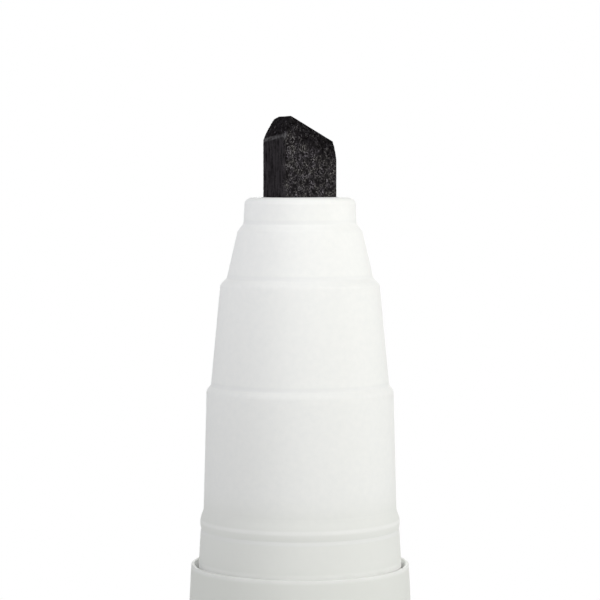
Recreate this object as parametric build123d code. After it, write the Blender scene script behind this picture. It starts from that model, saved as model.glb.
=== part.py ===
from build123d import *
import os
from math import cos, hypot, pi, sin, sqrt

# Liquid chalk marker with a chisel nib, standing nib up on its posted cap.
# Millimetres. The marker's axis is Z, the cap's closed end stands on Z = 0,
# and the nib's two broad faces look along Y.

# Fits
FIT_CLEARANCE = 0.03
RUNNING_CLEARANCE = 0.08
NIB_CLEARANCE = 0.1
SOFT_CLEARANCE = 0.25
REST_GAP = 0.05
CUT_MARGIN = 1.0

# Nib: a rectangular bar of bonded fibre with a slanted writing end
NIB_WIDTH = 6.0
NIB_THICKNESS = 3.0
NIB_REACH = 7.0
NIB_SEATED = 24.0
NIB_EDGE = 0.12
CHISEL_FALL = 2.2
HEEL_RUN = 1.2
HEEL_DROP = 1.7
HEEL_SLANT = 0.45
TOE_RUN = 0.15
TOE_DROP = 1.5
FACET_DROP = 1.7
FACET_INSET = 0.36

# Nose, from the nib down: the height of each band and its growth in radius.
# The two cones share what is left between the ring round the nib and the barrel.
RING_HEIGHT = 2.25
RING_WALL = 1.27
RING_DRAFT = 0.12
RING_EDGE = 0.65
STEP_1_RISE = 0.65
STEP_1_WIDTH = 0.5
CONE_1_HEIGHT = 4.03
CONE_1_SHARE = 0.53
STEP_2_RISE = 0.55
STEP_2_WIDTH = 0.55
CONE_2_HEIGHT = 8.7
STEP_3_RISE = 0.45
STEP_3_WIDTH = 0.38
STEP_COUNT = 3
STEP_EDGE = 0.6
STEP_ROOT = 0.25
SLEEVE_HEIGHT = 10.15
SLEEVE_DRAFT = 0.27
BEAD_HEIGHT = 1.85
BEAD_ROOT = 0.6
BEAD_FLARE = 0.14
CREASE_DEPTH = 0.06
CREASE_HEIGHT = 0.3
NECK_STEP = 0.27
NECK_HEIGHT = 3.07
NECK_DRAFT = 0.17
SPIGOT_LENGTH = 11.0
SPIGOT_WALL = 1.25
SPIGOT_LEAD = 0.4
NOSE_WALL = 1.3
GUIDE_WALL = 1.0
GUIDE_LENGTH = 5.5
GUIDE_RIB = 0.9

# Barrel
BARREL_R = 9.7
BARREL_LENGTH = 88.0
BARREL_WALL = 1.2
MOUTH_TAPER = 0.27
MOUTH_TAPER_LENGTH = 5.0
MOUTH_DEPTH = 1.2
MOUTH_GAP = 0.36
LIP_WALL = 0.28
LIP_EDGE = 0.1
SHOULDER_EDGE = 0.3
THROAT_HEIGHT = 2.0
TAIL_LENGTH = 12.8
TAIL_WALL = 1.0
TAIL_LEAD = 0.4
TAIL_BEAD_PROUD = 0.06
TAIL_BEAD_WIDTH = 1.4
TAIL_BEAD_DROP = 4.0

# Snap ribs that hold the pressed-in pieces
SNAP_PROUD = 0.2
SNAP_WIDTH = 1.2
SNAP_CREST = 0.5
SPIGOT_SNAP_DEPTH = 6.5
HOUSING_SNAP_DEPTH = 6.0
RETAINER_SNAP_RISE = 1.9
PLUG_SNAP_RISE = 4.5

# Foam ring round the nib
ABSORBER_HEIGHT = 6.0

# Valve
PRESS_STROKE = 2.5
STROKE_MARGIN = 0.5
POCKET_DEPTH = 2.5
POCKET_FLOOR = 3.0
SOCKET_GRIP = 2.2
CUP_WALL = 0.6
HOUSING_WALL = 1.35
FIN_THICKNESS = 0.8
STEM_R = 1.3
SEAT_GAP = 0.9
SEAT_THICKNESS = 1.6
SEAT_LIP = 0.5
SEAT_LIP_WIDTH = 0.7
SEAL_OVERLAP = 1.2
SEAL_THICKNESS = 0.9
HEAD_THICKNESS = 1.2
PIN_R = 1.2
PIN_OVERHANG = 1.0
PIN_LEAD = 0.3
CAGE_PLAY = 0.5
CAGE_WALL = 1.0
CAGE_WINDOW = 2.6
WINDOW_TOP = 3.0
WINDOW_FOOT = 4.2
RETAINER_FLOOR = 1.2
RETAINER_WALL = 0.9
RETAINER_SKIRT = 3.5
PORT_R = 0.6
PORT_COUNT = 4

# Spring
WIRE_R = 0.25
SPRING_LENGTH = 12.0
SPRING_TURNS = 7
SPRING_PLAY = 0.85
END_COIL_GAP = 0.5
ARCS_PER_TURN = 4
POINTS_PER_ARC = 8

# Mixing ball and tail plug
BALL_R = 3.0
PLUG_FLANGE = 1.2
PLUG_FLOOR = 0.8
PLUG_SKIRT = 7.0
PLUG_WALL = 1.2
PLUG_SETBACK = 0.1
PLUG_EDGE = 0.3

# Cap
CAP_END = 1.5
CAP_CLEARANCE = 0.12
CAP_TAPER = 0.5
CAP_BORE_TAPER = 0.9
CAP_EDGE = 0.8
CAP_LIP_EDGE = 0.15
FOOT_RECESS = 0.4
FOOT_RECESS_R = 6.0
FLUTE_COUNT = 24
FLUTE_R = 0.7
FLUTE_DEPTH = 0.2
FLUTE_FOOT = 5.0
FLUTE_LENGTH = 26.0
LINER_FLOOR = 1.0
LINER_WALL = 0.8
LINER_LEAD = 0.3
LINER_SEAL = 1.0
TIP_ROOM = 1.8

# Heights above the floor
nose_height = (RING_HEIGHT + STEP_1_RISE + CONE_1_HEIGHT + STEP_2_RISE + CONE_2_HEIGHT
               + STEP_3_RISE + SLEEVE_HEIGHT + BEAD_HEIGHT + NECK_HEIGHT)
cap_length = CAP_END + LINER_FLOOR + TIP_ROOM + NIB_REACH + nose_height
shoulder_z = cap_length
rim_z = shoulder_z + BARREL_LENGTH
nose_z = rim_z + nose_height
tip_z = nose_z + NIB_REACH
ring_foot_z = nose_z - RING_HEIGHT
cone_1_top_z = ring_foot_z - STEP_1_RISE
cone_1_foot_z = cone_1_top_z - CONE_1_HEIGHT
cone_2_top_z = cone_1_foot_z - STEP_2_RISE
cone_2_foot_z = cone_2_top_z - CONE_2_HEIGHT
sleeve_top_z = cone_2_foot_z - STEP_3_RISE
sleeve_foot_z = sleeve_top_z - SLEEVE_HEIGHT
neck_top_z = sleeve_foot_z - BEAD_HEIGHT
ledge_z = rim_z - MOUTH_DEPTH
spigot_end_z = rim_z - SPIGOT_LENGTH
guide_end_z = cone_2_top_z - GUIDE_LENGTH
absorber_top_z = guide_end_z - SOFT_CLEARANCE
housing_top_z = absorber_top_z - ABSORBER_HEIGHT
nib_rear_z = nose_z - NIB_SEATED
cup_top_z = nib_rear_z + POCKET_DEPTH
cup_foot_z = nib_rear_z - POCKET_FLOOR
seat_top_z = cup_foot_z - PRESS_STROKE - STROKE_MARGIN
seat_foot_z = seat_top_z - SEAT_THICKNESS
seal_top_z = seat_foot_z - SEAT_LIP
head_top_z = seal_top_z - SEAL_THICKNESS
head_foot_z = head_top_z - HEAD_THICKNESS
retainer_floor_z = head_foot_z - SPRING_LENGTH
retainer_foot_z = retainer_floor_z - RETAINER_FLOOR
pin_end_z = retainer_foot_z - PIN_OVERHANG
tail_end_z = shoulder_z - TAIL_LENGTH
plug_foot_z = tail_end_z - PLUG_FLANGE
plug_floor_z = tail_end_z + PLUG_FLOOR
liner_mouth_z = (CAP_END + LINER_FLOOR + TIP_ROOM + NIB_REACH
                 + RING_HEIGHT + STEP_1_RISE + LINER_SEAL)

# Radii: the nose's upper part follows the nib, and all else the barrel
mouth_r = BARREL_R - MOUTH_TAPER
lip_r = mouth_r - LIP_WALL
neck_r = lip_r - MOUTH_GAP
neck_top_r = neck_r - NECK_DRAFT
sleeve_foot_r = neck_top_r - NECK_STEP
sleeve_top_r = sleeve_foot_r - SLEEVE_DRAFT
cone_2_foot_r = sleeve_top_r - STEP_3_WIDTH
slot_x = NIB_WIDTH / 2 + NIB_CLEARANCE
slot_y = NIB_THICKNESS / 2 + NIB_CLEARANCE
ring_top_r = hypot(slot_x, slot_y) + RING_WALL
ring_foot_r = ring_top_r + RING_DRAFT
cone_growth = cone_2_foot_r - ring_foot_r - STEP_1_WIDTH - STEP_2_WIDTH
cone_1_top_r = ring_foot_r + STEP_1_WIDTH
cone_1_foot_r = cone_1_top_r + cone_growth * CONE_1_SHARE
cone_2_top_r = cone_1_foot_r + STEP_2_WIDTH
bore_r = BARREL_R - BARREL_WALL
spigot_r = bore_r - FIT_CLEARANCE
nose_bore_r = spigot_r - SPIGOT_WALL
cavity_top_r = cone_2_top_r - NOSE_WALL
cavity_r = cone_2_foot_r - NOSE_WALL
cup_r = hypot(slot_x, slot_y) + CUP_WALL
housing_r = nose_bore_r - FIT_CLEARANCE
chamber_r = housing_r - HOUSING_WALL
seat_hole_r = STEM_R + SEAT_GAP
seal_r = seat_hole_r + SEAL_OVERLAP
cage_r = seal_r + CAGE_PLAY
cage_outer_r = cage_r + CAGE_WALL
skirt_r = cage_outer_r + FIT_CLEARANCE
retainer_r = skirt_r + RETAINER_WALL
spring_r = PIN_R + SPRING_PLAY + WIRE_R
cap_bore_r = neck_r + CAP_CLEARANCE
cap_end_r = mouth_r - CAP_TAPER
cap_inner_r = cap_bore_r - CAP_BORE_TAPER
tail_top_r = cap_bore_r - CAP_CLEARANCE
tail_end_r = tail_top_r - CAP_BORE_TAPER * TAIL_LENGTH / (cap_length - CAP_END)
tail_bore_r = tail_end_r - TAIL_WALL
plug_r = tail_bore_r - FIT_CLEARANCE
liner_r = cone_1_top_r + (cone_1_foot_r - cone_1_top_r) * LINER_SEAL / CONE_1_HEIGHT


def turned(*outline):
    """Solid of revolution about the marker's axis; the outline is drawn as radius, height."""
    return revolve(Plane.XZ * make_face(outline), Axis.Z)


def turned_points(*points):
    """Solid of revolution from a closed outline of straight lines."""
    return turned(Polyline(*points, close=True))


def rod(radius, foot, top):
    """Cylinder on the marker's axis between two heights."""
    return Pos(0, 0, foot) * Cylinder(radius, top - foot, align=(Align.CENTER, Align.CENTER, Align.MIN))


def block(half_x, half_y, foot, top):
    """Upright block centred on the marker's axis between two heights."""
    return Pos(0, 0, foot) * Box(2 * half_x, 2 * half_y, top - foot,
                                 align=(Align.CENTER, Align.CENTER, Align.MIN))


def snap_ring(radius, height, clearance=0.0):
    """Ring with sloping sides round a wall, used as a rib and, with clearance, as its groove."""
    root = radius - SNAP_PROUD
    crest = radius + SNAP_PROUD + clearance
    half_root = SNAP_WIDTH / 2 + clearance
    half_crest = SNAP_CREST / 2 + clearance
    return turned_points((root, height - half_root), (radius, height - half_root),
                         (crest, height - half_crest), (crest, height + half_crest),
                         (radius, height + half_root), (root, height + half_root))


def nib():
    """Rectangular bar whose writing end is cut by a slanted face, a heel, a toe and two side facets."""
    half_x = NIB_WIDTH / 2
    half_y = NIB_THICKNESS / 2
    bar = block(half_x, half_y, nib_rear_z, tip_z)
    bar = fillet(bar.edges().filter_by(Axis.Z), NIB_EDGE)
    across = Vector(0, 1, 0)
    ridge = Vector(HEEL_RUN - half_x, -half_y, tip_z)
    slope = Vector(NIB_WIDTH - HEEL_RUN - TOE_RUN, 0, -CHISEL_FALL)
    heel_rise = Vector(HEEL_RUN, 0, HEEL_DROP)
    heel_lean = Vector(0, NIB_THICKNESS, -HEEL_SLANT)
    toe_fall = Vector(TOE_RUN, 0, -TOE_DROP)
    cuts = [(ridge, slope.cross(across)), (ridge, heel_rise.cross(heel_lean)),
            (ridge + slope, toe_fall.cross(across))]
    for side in (-1, 1):
        facet = Vector(0, -side * FACET_INSET, FACET_DROP)
        foot = Vector(ridge.X, side * half_y, tip_z - FACET_DROP)
        cuts.append((foot, slope.cross(facet) * -side))
    for point, outwards in cuts:
        bar = split(bar, Plane(origin=point, z_dir=outwards), keep=Keep.BOTTOM)
    return bar


def nose_section():
    """Stepped shell with the nib's guide hanging inside and the spigot that goes into the barrel."""
    upper = FilletPolyline((0, nose_z), (ring_top_r, nose_z), (ring_foot_r, ring_foot_z),
                           (cone_1_top_r, cone_1_top_z), (cone_1_foot_r, cone_1_foot_z),
                           (cone_2_top_r, cone_2_top_z), (cone_2_foot_r, cone_2_foot_z),
                           (sleeve_top_r, sleeve_top_z), (sleeve_foot_r, sleeve_foot_z),
                           radius=[RING_EDGE] + [STEP_ROOT, STEP_EDGE] * STEP_COUNT)
    flare_end = (sleeve_foot_r + BEAD_FLARE, sleeve_foot_z - BEAD_ROOT)
    flare = TangentArc((sleeve_foot_r, sleeve_foot_z), flare_end, tangent=(SLEEVE_DRAFT, -SLEEVE_HEIGHT))
    crease = (neck_top_r - CREASE_DEPTH, neck_top_z)
    bead = TangentArc(flare @ 1, crease, tangent=flare % 1)
    lower = Polyline(crease, (neck_top_r, neck_top_z - CREASE_HEIGHT), (neck_r, rim_z), (neck_r, ledge_z),
                     (spigot_r, ledge_z), (spigot_r, spigot_end_z + SPIGOT_LEAD),
                     (spigot_r - SPIGOT_LEAD, spigot_end_z), (0, spigot_end_z), (0, nose_z))
    shell = turned(upper, flare, bead, lower)
    cavity_foot_z = spigot_end_z - CUT_MARGIN
    shell -= turned_points((0, cavity_foot_z), (nose_bore_r, cavity_foot_z), (nose_bore_r, housing_top_z),
                           (cavity_r, housing_top_z), (cavity_r, cone_2_foot_z),
                           (cavity_top_r, cone_2_top_z), (0, cone_2_top_z))
    guide = block(slot_x + GUIDE_WALL, slot_y + GUIDE_WALL, guide_end_z, cone_2_top_z)
    rib_reach = cavity_top_r + NOSE_WALL / 2
    ribs = block(rib_reach, GUIDE_RIB / 2, guide_end_z, cone_2_top_z)
    ribs += block(GUIDE_RIB / 2, rib_reach, guide_end_z, cone_2_top_z)
    slot = block(slot_x, slot_y, guide_end_z - CUT_MARGIN, nose_z + CUT_MARGIN)
    snap = snap_ring(spigot_r, rim_z - SPIGOT_SNAP_DEPTH)
    groove = snap_ring(nose_bore_r, housing_top_z - HOUSING_SNAP_DEPTH, FIT_CLEARANCE)
    return shell + guide + ribs + snap - slot - groove


def barrel():
    """Tube with a tapered mouth, a thin lip, a seat for the nose and a reduced tail for the cap."""
    tail_bead_z = shoulder_z - TAIL_BEAD_DROP
    tail_slope = (tail_top_r - tail_end_r) / TAIL_LENGTH
    tail_bead_r = tail_top_r - tail_slope * TAIL_BEAD_DROP
    outer = FilletPolyline((tail_bore_r, tail_end_z), (tail_end_r - TAIL_LEAD, tail_end_z),
                           (tail_end_r, tail_end_z + TAIL_LEAD), (tail_top_r, shoulder_z),
                           (BARREL_R, shoulder_z), (BARREL_R, rim_z - MOUTH_TAPER_LENGTH), (mouth_r, rim_z),
                           (lip_r, rim_z), (neck_r + FIT_CLEARANCE, ledge_z),
                           radius=[0, 0, 0, SHOULDER_EDGE, 0, LIP_EDGE, LIP_EDGE])
    inner = Polyline((neck_r + FIT_CLEARANCE, ledge_z), (bore_r, ledge_z),
                     (bore_r, shoulder_z + THROAT_HEIGHT), (tail_bore_r, shoulder_z),
                     (tail_bore_r, tail_end_z))
    tube = turned(outer, inner)
    bead_ends = (tail_bead_z - TAIL_BEAD_WIDTH / 2, tail_bead_z + TAIL_BEAD_WIDTH / 2)
    bead_root = tail_bead_r - TAIL_WALL / 2
    bead_low_r = tail_bead_r - tail_slope * TAIL_BEAD_WIDTH / 2
    bead_high_r = tail_bead_r + tail_slope * TAIL_BEAD_WIDTH / 2
    bead_arc = ThreePointArc((bead_low_r, bead_ends[0]), (tail_bead_r + TAIL_BEAD_PROUD, tail_bead_z),
                             (bead_high_r, bead_ends[1]))
    bead_back = Polyline((bead_high_r, bead_ends[1]), (bead_root, bead_ends[1]), (bead_root, bead_ends[0]),
                         (bead_low_r, bead_ends[0]))
    nose_groove = snap_ring(bore_r, rim_z - SPIGOT_SNAP_DEPTH, FIT_CLEARANCE)
    plug_groove = snap_ring(tail_bore_r, tail_end_z + PLUG_SNAP_RISE, FIT_CLEARANCE)
    return tube + turned(bead_arc, bead_back) - nose_groove - plug_groove


def ink_absorber():
    """Foam ring between the guide and the valve housing, tapered as the nose is, open for the nib."""
    foot_r = cavity_r - SOFT_CLEARANCE
    waist_z = max(min(cone_2_foot_z, absorber_top_z), housing_top_z)
    taper = (cavity_r - cavity_top_r) / CONE_2_HEIGHT
    top_r = foot_r - taper * (absorber_top_z - waist_z)
    ring = rod(foot_r, housing_top_z, waist_z)
    ring += turned_points((0, waist_z), (foot_r, waist_z), (top_r, absorber_top_z), (0, absorber_top_z))
    hole = block(NIB_WIDTH / 2 + SOFT_CLEARANCE, NIB_THICKNESS / 2 + SOFT_CLEARANCE,
                 housing_top_z - CUT_MARGIN, absorber_top_z + CUT_MARGIN)
    return ring - hole


def valve_housing():
    """Ink chamber above, valve seat with a raised sealing lip, and the spring's open cage below."""
    lip_root = seat_hole_r + SEAT_LIP_WIDTH
    lip_crest = seat_hole_r + SEAT_LIP_WIDTH / 2
    body = turned_points((seat_hole_r, seat_top_z), (chamber_r, seat_top_z), (chamber_r, housing_top_z),
                         (housing_r, housing_top_z), (housing_r, seat_foot_z), (cage_outer_r, seat_foot_z),
                         (cage_outer_r, retainer_floor_z), (cage_r, retainer_floor_z),
                         (cage_r, seat_foot_z), (lip_root, seat_foot_z), (lip_crest, seal_top_z),
                         (seat_hole_r, seal_top_z))
    window_top = seat_foot_z - WINDOW_TOP
    window_foot = retainer_floor_z + WINDOW_FOOT
    windows = block(housing_r, CAGE_WINDOW / 2, window_foot, window_top)
    windows += block(CAGE_WINDOW / 2, housing_r, window_foot, window_top)
    rib = snap_ring(housing_r, housing_top_z - HOUSING_SNAP_DEPTH)
    groove = rod(cage_outer_r + CUT_MARGIN, retainer_floor_z, window_foot)
    groove &= retainer_snap(FIT_CLEARANCE)
    return body - windows - groove + rib


def retainer_snap(clearance):
    """Inward rib of the retainer's skirt, or with clearance the groove it snaps into."""
    height = retainer_floor_z + RETAINER_SNAP_RISE
    root = skirt_r + RETAINER_WALL / 2
    crest = skirt_r - SNAP_PROUD - clearance
    half_root = SNAP_WIDTH / 2 + clearance
    half_crest = SNAP_CREST / 2 + clearance
    return turned_points((root, height - half_root), (skirt_r, height - half_root),
                         (crest, height - half_crest), (crest, height + half_crest),
                         (skirt_r, height + half_root), (root, height + half_root))


def nib_socket():
    """Finned cup that carries the nib's rear end and is pressed onto the valve stem from above."""
    cup = rod(cup_r, cup_foot_z, cup_top_z)
    fin_r = chamber_r - RUNNING_CLEARANCE
    fins = block(fin_r, FIN_THICKNESS / 2, cup_foot_z, nib_rear_z)
    fins += block(FIN_THICKNESS / 2, fin_r, cup_foot_z, nib_rear_z)
    fins &= rod(fin_r, cup_foot_z, nib_rear_z)
    pocket = block(slot_x, slot_y, nib_rear_z, cup_top_z + CUT_MARGIN)
    stem_hole = rod(STEM_R + FIT_CLEARANCE, cup_foot_z - CUT_MARGIN, cup_foot_z + SOCKET_GRIP)
    return cup + fins - pocket - stem_hole


def valve_stem():
    """Poppet put in from below: stem through the seat, valve head and guide pin for the spring."""
    stem_top_z = cup_foot_z + SOCKET_GRIP
    return turned_points((0, stem_top_z), (STEM_R - PIN_LEAD, stem_top_z), (STEM_R, stem_top_z - PIN_LEAD),
                         (STEM_R, head_top_z), (seal_r, head_top_z), (seal_r, head_foot_z),
                         (PIN_R, head_foot_z), (PIN_R, pin_end_z + PIN_LEAD),
                         (PIN_R - PIN_LEAD, pin_end_z), (0, pin_end_z))


def valve_seal():
    """Soft washer that sits on the valve head round the stem and closes against the seat's lip."""
    return rod(seal_r, head_top_z, seal_top_z) - rod(STEM_R + FIT_CLEARANCE, head_top_z, seal_top_z)


def biarc(start, start_way, end, end_way):
    """Two arcs, tangent where they meet, from one point and direction to another."""
    span = end - start
    bend = 2 * (start_way.dot(end_way) - 1)
    pull = span.dot(start_way + end_way)
    reach = (pull - sqrt(pull ** 2 - bend * span.dot(span))) / bend
    near = start + start_way * reach
    far = end - end_way * reach
    middle = (near + far) * 0.5
    return [TangentArc(start, middle, tangent=start_way), TangentArc(middle, end, tangent=far - near)]


def spring_height(turn):
    """Height of the wire's centre after a number of turns; the first and last turn lie closer."""
    low = retainer_floor_z + REST_GAP + WIRE_R
    rise = SPRING_LENGTH - 2 * REST_GAP - 2 * WIRE_R
    end_pitch = 2 * WIRE_R + END_COIL_GAP
    middle_pitch = (rise - 2 * end_pitch) / (SPRING_TURNS - 2)
    middle_turns = min(max(turn - 1, 0), SPRING_TURNS - 2)
    return low + end_pitch * (turn - middle_turns) + middle_pitch * middle_turns


def spring_point(turn):
    """Centre of the wire after a number of turns."""
    angle = 2 * pi * turn
    return Vector(spring_r * cos(angle), spring_r * sin(angle), spring_height(turn))


def spring_way(turn):
    """Direction of the wire after a number of turns."""
    step = 1 / ARCS_PER_TURN
    climb = (spring_height(turn + step) - spring_height(turn - step)) / (2 * step)
    angle = 2 * pi * turn
    return Vector(-2 * pi * spring_r * sin(angle), 2 * pi * spring_r * cos(angle), climb).normalized()


def spring_self_gap():
    """Least room between one turn of the wire and the next, measured on points."""
    steps = POINTS_PER_ARC * ARCS_PER_TURN
    points = [spring_point(i / steps) for i in range(SPRING_TURNS * steps + 1)]
    gaps = [(points[i] - points[j]).length - 2 * WIRE_R
            for i in range(len(points)) for j in range(i + steps // 2, len(points))]
    return min(gaps)


def valve_spring():
    """Compression spring as one unbroken wire, swept along pairs of tangent arcs."""
    edges = []
    for i in range(SPRING_TURNS * ARCS_PER_TURN):
        a = i / ARCS_PER_TURN
        b = (i + 1) / ARCS_PER_TURN
        arcs = biarc(spring_point(a), spring_way(a), spring_point(b), spring_way(b))
        edges += [arc.edge() for arc in arcs]
    section = Plane(origin=spring_point(0), z_dir=spring_way(0)) * Circle(WIRE_R)
    return sweep(section, path=Wire(edges))


def spring_retainer():
    """Cup that snaps over the cage's end: spring floor, ink ports and the pin's guide hole."""
    cup = turned_points((PIN_R + RUNNING_CLEARANCE, retainer_foot_z), (retainer_r, retainer_foot_z),
                        (retainer_r, retainer_floor_z + RETAINER_SKIRT),
                        (skirt_r, retainer_floor_z + RETAINER_SKIRT), (skirt_r, retainer_floor_z),
                        (PIN_R + RUNNING_CLEARANCE, retainer_floor_z))
    port_ring_r = (spring_r + WIRE_R + cage_r) / 2
    port = rod(PORT_R, retainer_foot_z - CUT_MARGIN, retainer_floor_z + CUT_MARGIN)
    ports = [place * port for place in PolarLocations(port_ring_r, PORT_COUNT)]
    return cup + retainer_snap(0) - ports


def tail_plug():
    """Flanged cup that closes the filling end of the barrel."""
    flange_r = tail_end_r - PLUG_SETBACK
    skirt_top_z = tail_end_z + PLUG_SKIRT
    outline = FilletPolyline((0, plug_foot_z), (flange_r, plug_foot_z), (flange_r, tail_end_z),
                             (plug_r, tail_end_z), (plug_r, skirt_top_z), (plug_r - PLUG_WALL, skirt_top_z),
                             (plug_r - PLUG_WALL, plug_floor_z), (0, plug_floor_z),
                             radius=[PLUG_EDGE, 0, 0, PLUG_EDGE, 0, PLUG_EDGE])
    axis_line = Line((0, plug_floor_z), (0, plug_foot_z))
    rib = snap_ring(plug_r, tail_end_z + PLUG_SNAP_RISE)
    return turned(outline, axis_line) + rib


def mixing_ball():
    """Loose steel ball in the ink chamber, resting in the tail plug."""
    return Pos(0, 0, plug_floor_z + REST_GAP + BALL_R) * Sphere(BALL_R)


def cap_shell():
    """Tapered cup with a ring to stand on and shallow finger flutes."""
    outline = FilletPolyline((0, FOOT_RECESS), (FOOT_RECESS_R, FOOT_RECESS),
                             (FOOT_RECESS_R + FOOT_RECESS, 0), (cap_end_r, 0), (mouth_r, cap_length),
                             (cap_bore_r, cap_length), (cap_inner_r, CAP_END), (0, CAP_END),
                             radius=[0, 0, CAP_EDGE, CAP_LIP_EDGE, CAP_LIP_EDGE, 0])
    cup = turned(outline, Line((0, CAP_END), (0, FOOT_RECESS)))
    slope = Vector(mouth_r - cap_end_r, 0, cap_length)
    out = FLUTE_R - FLUTE_DEPTH
    foot = Vector(cap_end_r + out, 0, 0) + slope * (FLUTE_FOOT / cap_length)
    flute = Plane(origin=foot, z_dir=slope) * Cylinder(FLUTE_R, FLUTE_LENGTH,
                                                       align=(Align.CENTER, Align.CENTER, Align.MIN))
    flutes = [Rot(0, 0, 360 / FLUTE_COUNT * i) * flute for i in range(FLUTE_COUNT)]
    return cup - flutes


def cap_liner():
    """Sealing cup pressed into the cap's end; its mouth closes round the nose's first cone."""
    flange_r = cap_inner_r - FIT_CLEARANCE
    floor_top = CAP_END + LINER_FLOOR
    outer_r = liner_r + LINER_WALL
    return turned_points((0, CAP_END), (flange_r, CAP_END), (flange_r, floor_top), (outer_r, floor_top),
                         (outer_r, liner_mouth_z), (liner_r + LINER_LEAD, liner_mouth_z),
                         (liner_r, liner_mouth_z - LINER_LEAD), (liner_r, floor_top), (0, floor_top))


PIECES = [nib, nose_section, barrel, ink_absorber, valve_housing, nib_socket, valve_stem, valve_seal,
          valve_spring, spring_retainer, tail_plug, mixing_ball, cap_shell, cap_liner]

os.makedirs("parts", exist_ok=True)
for piece in PIECES:
    solid = piece()
    solid.label = piece.__name__
    export_step(solid, f"parts/{piece.__name__}.step")
    print(f"{piece.__name__}: {solid.volume:.1f} mm3")
print(f"least gap between the spring's turns: {spring_self_gap():.2f} mm")
print(f"cap {cap_length:.2f}, rim {rim_z:.2f}, nose {nose_z:.2f}, tip {tip_z:.2f} mm above the floor")
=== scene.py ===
# %% [markdown]
# # A liquid chalk marker, nib up
# The marker is a white tube with a stepped nose, a black chisel nib and a fluted black cap on its tail.
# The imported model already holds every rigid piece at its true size. This lesson gives those pieces their
# finishes, models the fibre nib, the foam ring and the wire spring anew, and sets up a small studio.

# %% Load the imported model
from math import atan, cos, pi, radians, sin

import bpy
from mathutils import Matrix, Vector


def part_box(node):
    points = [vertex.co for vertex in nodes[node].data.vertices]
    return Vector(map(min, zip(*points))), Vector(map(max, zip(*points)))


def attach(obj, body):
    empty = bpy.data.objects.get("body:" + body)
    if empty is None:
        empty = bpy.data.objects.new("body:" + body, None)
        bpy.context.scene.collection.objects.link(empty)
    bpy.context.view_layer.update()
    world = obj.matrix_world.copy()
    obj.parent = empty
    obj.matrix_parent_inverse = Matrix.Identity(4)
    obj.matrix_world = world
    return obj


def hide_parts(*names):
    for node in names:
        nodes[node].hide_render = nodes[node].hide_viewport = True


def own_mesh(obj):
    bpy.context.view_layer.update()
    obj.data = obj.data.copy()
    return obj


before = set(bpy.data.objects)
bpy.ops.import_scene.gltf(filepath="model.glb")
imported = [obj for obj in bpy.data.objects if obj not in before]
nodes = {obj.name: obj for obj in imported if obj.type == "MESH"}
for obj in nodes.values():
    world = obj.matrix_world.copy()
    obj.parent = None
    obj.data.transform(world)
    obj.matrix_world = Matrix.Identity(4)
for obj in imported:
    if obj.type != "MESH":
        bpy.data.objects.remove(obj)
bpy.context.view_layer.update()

MM = 0.001

# %% [markdown]
# ## An empty bench
# An operator acts on whatever is selected, and the loaded nodes arrive selected. So each step starts with
# nothing selected, as one does in the window by clicking beside the objects.

# %% Clear the bench


def clear_bench():
    """Deselect every object."""
    bpy.ops.object.select_all(action="DESELECT")


clear_bench()
print("selected on the bench:", len(bpy.context.selected_objects))

# %% [markdown]
# ## The camera
# The photograph was taken from close by with a long lens, the eye a little above the top of the nose: the
# rings of the steps lie open only a little, more so towards the barrel. A camera could be turned by hand
# until the picture fits, but the rings give the numbers. How fast they open gives the horizon's height in
# the picture, and with it the pitch. The nib's two visible faces give the turn about the marker.

# %% Place the camera
PHOTO_SIDE = 600
FOCAL_PIXELS = 2425
HORIZON_PIXEL = 164
SENSOR_MM = 36
CAMERA_TURN = radians(-41.5)
CAMERA_REACH = 209 * MM
EYE_RISE = 2.85 * MM

nose_top = Vector((0, 0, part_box("nose_section")[1].z))
to_camera = Vector((sin(CAMERA_TURN), -cos(CAMERA_TURN), 0))
to_right = Vector((cos(CAMERA_TURN), sin(CAMERA_TURN), 0))
camera_pitch = atan((PHOTO_SIDE / 2 - HORIZON_PIXEL) / FOCAL_PIXELS)

eye = nose_top + to_camera * CAMERA_REACH + Vector((0, 0, EYE_RISE))
bpy.ops.object.camera_add(location=eye, rotation=(pi / 2 - camera_pitch, 0, CAMERA_TURN))
camera = bpy.context.object
camera.data.sensor_width = SENSOR_MM
camera.data.lens = SENSOR_MM * FOCAL_PIXELS / PHOTO_SIDE
camera.data.clip_start = CAMERA_REACH / 10
bpy.context.scene.camera = camera
print("camera lens", round(camera.data.lens), "mm, pitched", round(camera_pitch, 4), "rad")

# %% [markdown]
# ## Shader maths as Python
# A finish is a small graph of nodes. To keep it readable, one class wraps the output of a node. Adding or
# multiplying such outputs adds the Math node that does it, and one method makes any other node from its
# type, its settings and its inputs. The Mix node has a set of sockets for each type of data, and those for
# a colour are known by their numbers.

# %% The Signal class
MIX_FACTOR, MIX_DARK, MIX_LIGHT, MIX_RESULT = 0, 6, 7, 2


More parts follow.
